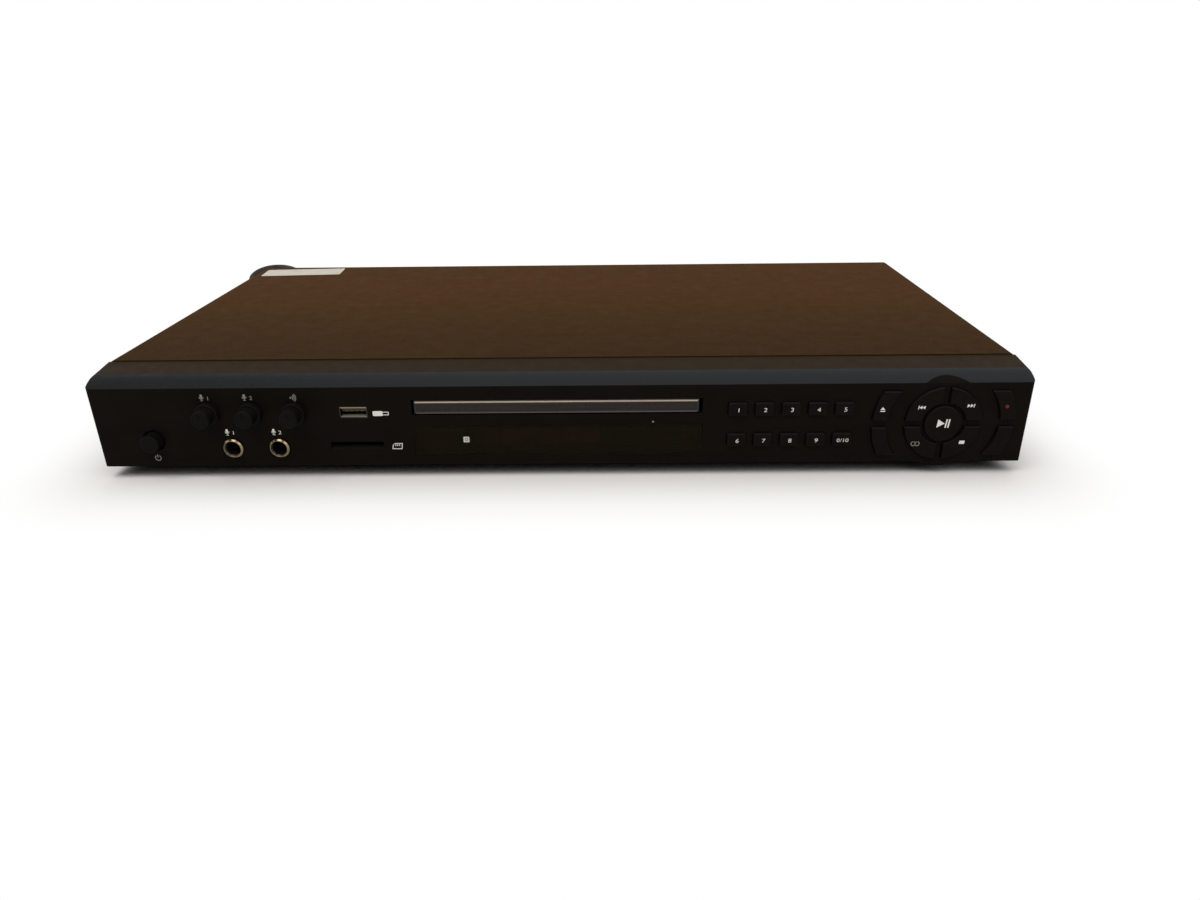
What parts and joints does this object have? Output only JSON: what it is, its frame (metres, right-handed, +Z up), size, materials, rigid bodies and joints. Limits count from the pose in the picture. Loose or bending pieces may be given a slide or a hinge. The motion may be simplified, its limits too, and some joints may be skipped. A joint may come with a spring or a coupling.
{
  "type": "karaoke disc player with tray",
  "caption": "Low wide disc player for singing along: metal case, moulded front, sliding disc tray, microphone knobs and sockets, keys, display window and mains lead.",
  "frame": {"origin": "under the feet, at the middle of the body seen from above, leaving out the mains lead", "axes": "+X right along the front, +Y from the front to the rear, +Z up"},
  "size_m": [0.4797, 0.3835, 0.0506],
  "materials": {
    "cover_paint": "fine textured warm black-brown powder coat",
    "zinc_steel": "zinc-plated sheet",
    "front_plastic": "satin black-brown moulded plastic",
    "key_plastic": "satin black-brown keys",
    "knob_plastic": "satin dark grey-brown",
    "door_plastic": "smoked silver door",
    "window_acrylic": "smoked acrylic",
    "lens_clear": "clear light pipe",
    "display_glass": "display module",
    "circuit_green": "glass-epoxy circuit board",
    "black_plastic": "black plastic",
    "white_plastic": "natural acetal",
    "grey_plastic": "grey moulded plastic",
    "chrome_ring": "bright nickel",
    "steel": "turned steel",
    "rubber": "soft black rubber",
    "lead_pvc": "black flexible vinyl"
  },
  "bodies": {
    "case": {"chassis": "zinc_steel", "top_cover": "cover_paint", "rear_panel": "zinc_steel", "case_screws": "steel", "feet": "rubber", "front_panel": "front_plastic", "display_window": "window_acrylic", "display_module": "display_glass", "indicator_lens": "lens_clear", "front_board": "circuit_green", "tact_switches": "grey_plastic", "potentiometers": "steel", "mic_jacks": "black_plastic", "mic_jack_rings": "chrome_ring", "power_switch": "black_plastic", "usb_socket": "chrome_ring", "card_socket": "steel", "circuit_boards": "circuit_green", "board_parts": "black_plastic", "rear_sockets": "chrome_ring", "loader_frame": "black_plastic", "clamp_bridge": "zinc_steel", "loading_motor": "steel", "strain_relief": "lead_pvc", "lead": "lead_pvc", "lead_coil": "lead_pvc", "plug": "black_plastic"},
    "tray": {"disc_tray": "black_plastic", "tray_door": "door_plastic"},
    "loading_gear": {"loading_gear": "white_plastic"},
    "motor_pinion": {"motor_pinion": "white_plastic"},
    "deck": {"deck": "grey_plastic", "deck_drives": "steel"},
    "turntable": {"turntable": "black_plastic"},
    "sled": {"pickup_sled": "grey_plastic"},
    "lead_screw": {"lead_screw": "steel"},
    "disc_clamp": {"disc_clamp": "white_plastic"},
    "knob_1": {"knob_1": "knob_plastic"},
    "knob_2": {"knob_2": "knob_plastic"},
    "knob_3": {"knob_3": "knob_plastic"},
    "power_button": {"power_button": "key_plastic"},
    "number_key_1": {"number_key_1": "key_plastic"},
    "number_key_2": {"number_key_2": "key_plastic"},
    "number_key_3": {"number_key_3": "key_plastic"},
    "number_key_4": {"number_key_4": "key_plastic"},
    "number_key_5": {"number_key_5": "key_plastic"},
    "number_key_6": {"number_key_6": "key_plastic"},
    "number_key_7": {"number_key_7": "key_plastic"},
    "number_key_8": {"number_key_8": "key_plastic"},
    "number_key_9": {"number_key_9": "key_plastic"},
    "number_key_10": {"number_key_10": "key_plastic"},
    "previous_key": {"previous_key": "key_plastic"},
    "next_key": {"next_key": "key_plastic"},
    "audio_mode_key": {"audio_mode_key": "key_plastic"},
    "stop_key": {"stop_key": "key_plastic"},
    "eject_key": {"eject_key": "key_plastic"},
    "record_key": {"record_key": "key_plastic"},
    "source_key": {"source_key": "key_plastic"},
    "record_play_key": {"record_play_key": "key_plastic"},
    "play_key": {"play_key": "key_plastic"}
  },
  "joints": [
    {"name": "tray_slide", "type": "slide", "parent": "case", "child": "tray", "axis": [0, -1, 0], "range_m": [0, 0.138]},
    {"name": "loading_gear_turn", "type": "hinge", "parent": "case", "child": "loading_gear", "pos_m": [-0.0454, -0.08125, 0.026], "axis": [0, 0, 1], "range_deg": [0, 1000]},
    {"name": "motor_pinion_turn", "type": "hinge", "parent": "case", "child": "motor_pinion", "pos_m": [-0.0286, -0.08125, 0.022], "axis": [0, 0, 1], "range_deg": [-3200, 0]},
    {"name": "deck_tilt", "type": "hinge", "parent": "case", "child": "deck", "pos_m": [-0.0004, 0.05525, 0.021], "axis": [1, 0, 0], "range_deg": [0, 4.2]},
    {"name": "turntable_spin", "type": "hinge", "parent": "deck", "child": "turntable", "pos_m": [-0.0004, -0.04275, 0.03], "axis": [0, 0, 1], "continuous": true},
    {"name": "clamp_spin", "type": "hinge", "parent": "case", "child": "disc_clamp", "pos_m": [-0.0004, -0.04275, 0.043], "axis": [0, 0, 1], "continuous": true},
    {"name": "sled_slide", "type": "slide", "parent": "deck", "child": "sled", "axis": [0, 1, 0], "range_m": [0, 0.036]},
    {"name": "lead_screw_turn", "type": "hinge", "parent": "deck", "child": "lead_screw", "pos_m": [-0.0124, 0.00725, 0.0164], "axis": [0, 1, 0], "range_deg": [0, 4330]},
    {"name": "knob_1_turn", "type": "hinge", "parent": "case", "child": "knob_1", "pos_m": [-0.1607, -0.11775, 0.0327], "axis": [0, 1, 0], "range_deg": [-150, 150]},
    {"name": "knob_2_turn", "type": "hinge", "parent": "case", "child": "knob_2", "pos_m": [-0.141, -0.11775, 0.0327], "axis": [0, 1, 0], "range_deg": [-150, 150]},
    {"name": "knob_3_turn", "type": "hinge", "parent": "case", "child": "knob_3", "pos_m": [-0.1208, -0.11775, 0.0327], "axis": [0, 1, 0], "range_deg": [-150, 150]},
    {"name": "power_press", "type": "slide", "parent": "case", "child": "power_button", "axis": [0, 1, 0], "range_m": [0, 0.003], "stiffness_N_per_m": 400, "springref_m": -0.001},
    {"name": "number_key_1_press", "type": "slide", "parent": "case", "child": "number_key_1", "axis": [0, 1, 0], "range_m": [0, 0.0008], "stiffness_N_per_m": 900, "springref_m": -0.0004},
    {"name": "number_key_2_press", "type": "slide", "parent": "case", "child": "number_key_2", "axis": [0, 1, 0], "range_m": [0, 0.0008], "stiffness_N_per_m": 900, "springref_m": -0.0004},
    {"name": "number_key_3_press", "type": "slide", "parent": "case", "child": "number_key_3", "axis": [0, 1, 0], "range_m": [0, 0.0008], "stiffness_N_per_m": 900, "springref_m": -0.0004},
    {"name": "number_key_4_press", "type": "slide", "parent": "case", "child": "number_key_4", "axis": [0, 1, 0], "range_m": [0, 0.0008], "stiffness_N_per_m": 900, "springref_m": -0.0004},
    {"name": "number_key_5_press", "type": "slide", "parent": "case", "child": "number_key_5", "axis": [0, 1, 0], "range_m": [0, 0.0008], "stiffness_N_per_m": 900, "springref_m": -0.0004},
    {"name": "number_key_6_press", "type": "slide", "parent": "case", "child": "number_key_6", "axis": [0, 1, 0], "range_m": [0, 0.0008], "stiffness_N_per_m": 900, "springref_m": -0.0004},
    {"name": "number_key_7_press", "type": "slide", "parent": "case", "child": "number_key_7", "axis": [0, 1, 0], "range_m": [0, 0.0008], "stiffness_N_per_m": 900, "springref_m": -0.0004},
    {"name": "number_key_8_press", "type": "slide", "parent": "case", "child": "number_key_8", "axis": [0, 1, 0], "range_m": [0, 0.0008], "stiffness_N_per_m": 900, "springref_m": -0.0004},
    {"name": "number_key_9_press", "type": "slide", "parent": "case", "child": "number_key_9", "axis": [0, 1, 0], "range_m": [0, 0.0008], "stiffness_N_per_m": 900, "springref_m": -0.0004},
    {"name": "number_key_10_press", "type": "slide", "parent": "case", "child": "number_key_10", "axis": [0, 1, 0], "range_m": [0, 0.0008], "stiffness_N_per_m": 900, "springref_m": -0.0004},
    {"name": "previous_key_press", "type": "slide", "parent": "case", "child": "previous_key", "axis": [0, 1, 0], "range_m": [0, 0.0008], "stiffness_N_per_m": 900, "springref_m": -0.0004},
    {"name": "next_key_press", "type": "slide", "parent": "case", "child": "next_key", "axis": [0, 1, 0], "range_m": [0, 0.0008], "stiffness_N_per_m": 900, "springref_m": -0.0004},
    {"name": "audio_mode_key_press", "type": "slide", "parent": "case", "child": "audio_mode_key", "axis": [0, 1, 0], "range_m": [0, 0.0008], "stiffness_N_per_m": 900, "springref_m": -0.0004},
    {"name": "stop_key_press", "type": "slide", "parent": "case", "child": "stop_key", "axis": [0, 1, 0], "range_m": [0, 0.0008], "stiffness_N_per_m": 900, "springref_m": -0.0004},
    {"name": "eject_key_press", "type": "slide", "parent": "case", "child": "eject_key", "axis": [0, 1, 0], "range_m": [0, 0.0008], "stiffness_N_per_m": 900, "springref_m": -0.0004},
    {"name": "record_key_press", "type": "slide", "parent": "case", "child": "record_key", "axis": [0, 1, 0], "range_m": [0, 0.0008], "stiffness_N_per_m": 900, "springref_m": -0.0004},
    {"name": "source_key_press", "type": "slide", "parent": "case", "child": "source_key", "axis": [0, 1, 0], "range_m": [0, 0.0008], "stiffness_N_per_m": 900, "springref_m": -0.0004},
    {"name": "record_play_key_press", "type": "slide", "parent": "case", "child": "record_play_key", "axis": [0, 1, 0], "range_m": [0, 0.0008], "stiffness_N_per_m": 900, "springref_m": -0.0004},
    {"name": "play_key_press", "type": "slide", "parent": "case", "child": "play_key", "axis": [0, 1, 0], "range_m": [0, 0.0008], "stiffness_N_per_m": 900, "springref_m": -0.0004}
  ],
  "couplings": [
    {"joint": "loading_gear_turn", "follows": "tray_slide", "rad_per_m": 125},
    {"joint": "motor_pinion_turn", "follows": "tray_slide", "rad_per_m": -400},
    {"joint": "clamp_spin", "follows": "turntable_spin", "ratio": 1},
    {"joint": "lead_screw_turn", "follows": "sled_slide", "rad_per_m": 2094.4}
  ]
}
